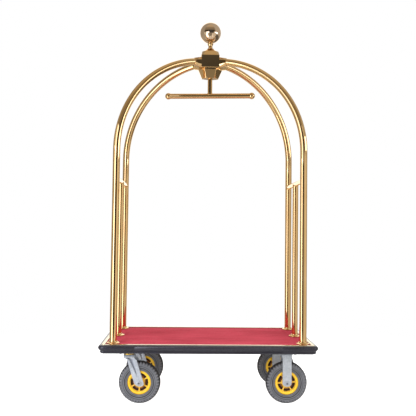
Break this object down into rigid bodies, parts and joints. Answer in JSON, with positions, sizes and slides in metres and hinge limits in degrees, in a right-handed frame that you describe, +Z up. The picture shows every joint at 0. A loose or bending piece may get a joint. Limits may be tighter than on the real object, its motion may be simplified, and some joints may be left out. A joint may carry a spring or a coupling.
{
  "type": "hotel luggage cart",
  "caption": "Birdcage hotel luggage cart: gold tube arches over a carpeted deck, ball finial on a crown hub, swivelling garment hanger, rubber bumper, swivel and rigid casters.",
  "frame": {"origin": "on the floor under the middle of the deck", "axes": "+X along the deck to the rigid-caster end, +Y to the rear, +Z up"},
  "size_m": [1.0556, 0.5816, 1.9592],
  "materials": {
    "gold_tube": "mirror-polished stainless steel with a gold vapour-deposited coat",
    "pale_gold_trim": "bright pale gold anodised edging",
    "red_carpet": "short dense pile, matt, faint tracks and creases",
    "plywood": "raw birch plywood edge and underside",
    "black_steel": "black powder coat",
    "bumper_rubber": "smooth extruded black rubber with a soft sheen",
    "grey_tyre": "mid-grey rubber, matt, ribbed side walls and a lugged shoulder",
    "yellow_rim": "golden yellow, semi-gloss",
    "zinc_steel": "bright zinc plate on pressed steel",
    "bearing_steel": "turned steel"
  },
  "bodies": {
    "cart_frame": {"deck_board": "plywood", "carpet": "red_carpet", "deck_rail_front": "black_steel", "deck_rail_rear": "black_steel", "caster_beam_left": "black_steel", "caster_beam_right": "black_steel", "edge_trim_front": "pale_gold_trim", "edge_trim_rear": "pale_gold_trim", "edge_trim_left": "pale_gold_trim", "edge_trim_right": "pale_gold_trim", "bumper_front": "bumper_rubber", "bumper_rear": "bumper_rubber", "bumper_end_left": "bumper_rubber", "bumper_end_right": "bumper_rubber", "post_front_left": "gold_tube", "post_flange_front_left": "gold_tube", "post_rear_left": "gold_tube", "post_flange_rear_left": "gold_tube", "crossbar_left": "gold_tube", "center_post_left": "gold_tube", "post_flange_center_left": "gold_tube", "post_front_right": "gold_tube", "post_flange_front_right": "gold_tube", "post_rear_right": "gold_tube", "post_flange_rear_right": "gold_tube", "crossbar_right": "gold_tube", "center_post_right": "gold_tube", "post_flange_center_right": "gold_tube", "crown_hub": "gold_tube", "finial_neck": "gold_tube", "finial_ball": "gold_tube", "caster_plate_front_left": "zinc_steel", "kingpin_front_left": "zinc_steel", "rigid_bracket_front_right": "zinc_steel", "axle_bolt_front_right": "zinc_steel", "caster_plate_rear_left": "zinc_steel", "kingpin_rear_left": "zinc_steel", "rigid_bracket_rear_right": "zinc_steel", "axle_bolt_rear_right": "zinc_steel"},
    "hanger": {"hanger_stem": "gold_tube", "hanger_collar": "bearing_steel", "hanger_bar": "gold_tube", "hanger_ball_left": "gold_tube", "hanger_ball_right": "gold_tube"},
    "swivel_fork_front_left": {"fork_front_left": "zinc_steel", "axle_bolt_front_left": "zinc_steel"},
    "swivel_fork_rear_left": {"fork_rear_left": "zinc_steel", "axle_bolt_rear_left": "zinc_steel"},
    "wheel_front_left": {"tyre_front_left": "grey_tyre", "rim_front_left": "yellow_rim", "wheel_bearing_front_left": "bearing_steel"},
    "wheel_front_right": {"tyre_front_right": "grey_tyre", "rim_front_right": "yellow_rim", "wheel_bearing_front_right": "bearing_steel"},
    "wheel_rear_left": {"tyre_rear_left": "grey_tyre", "rim_rear_left": "yellow_rim", "wheel_bearing_rear_left": "bearing_steel"},
    "wheel_rear_right": {"tyre_rear_right": "grey_tyre", "rim_rear_right": "yellow_rim", "wheel_bearing_rear_right": "bearing_steel"}
  },
  "joints": [
    {"name": "hanger_swivel", "type": "hinge", "parent": "cart_frame", "child": "hanger", "pos_m": [0, 0, 1.77], "axis": [0, 0, 1], "continuous": true},
    {"name": "caster_swivel_front_left", "type": "hinge", "parent": "cart_frame", "child": "swivel_fork_front_left", "pos_m": [-0.388, -0.175, 0.24], "axis": [0, 0, 1], "continuous": true},
    {"name": "caster_swivel_rear_left", "type": "hinge", "parent": "cart_frame", "child": "swivel_fork_rear_left", "pos_m": [-0.388, 0.175, 0.24], "axis": [0, 0, 1], "continuous": true},
    {"name": "wheel_spin_front_left", "type": "hinge", "parent": "swivel_fork_front_left", "child": "wheel_front_left", "pos_m": [-0.33407, -0.17783, 0.1015], "axis": [0.0523, 0.9986, 0], "continuous": true},
    {"name": "wheel_spin_front_right", "type": "hinge", "parent": "cart_frame", "child": "wheel_front_right", "pos_m": [0.388, -0.175, 0.1015], "axis": [0, 1, 0], "continuous": true},
    {"name": "wheel_spin_rear_left", "type": "hinge", "parent": "swivel_fork_rear_left", "child": "wheel_rear_left", "pos_m": [-0.33407, 0.17217, 0.1015], "axis": [0.0523, 0.9986, 0], "continuous": true},
    {"name": "wheel_spin_rear_right", "type": "hinge", "parent": "cart_frame", "child": "wheel_rear_right", "pos_m": [0.388, 0.175, 0.1015], "axis": [0, 1, 0], "continuous": true}
  ]
}
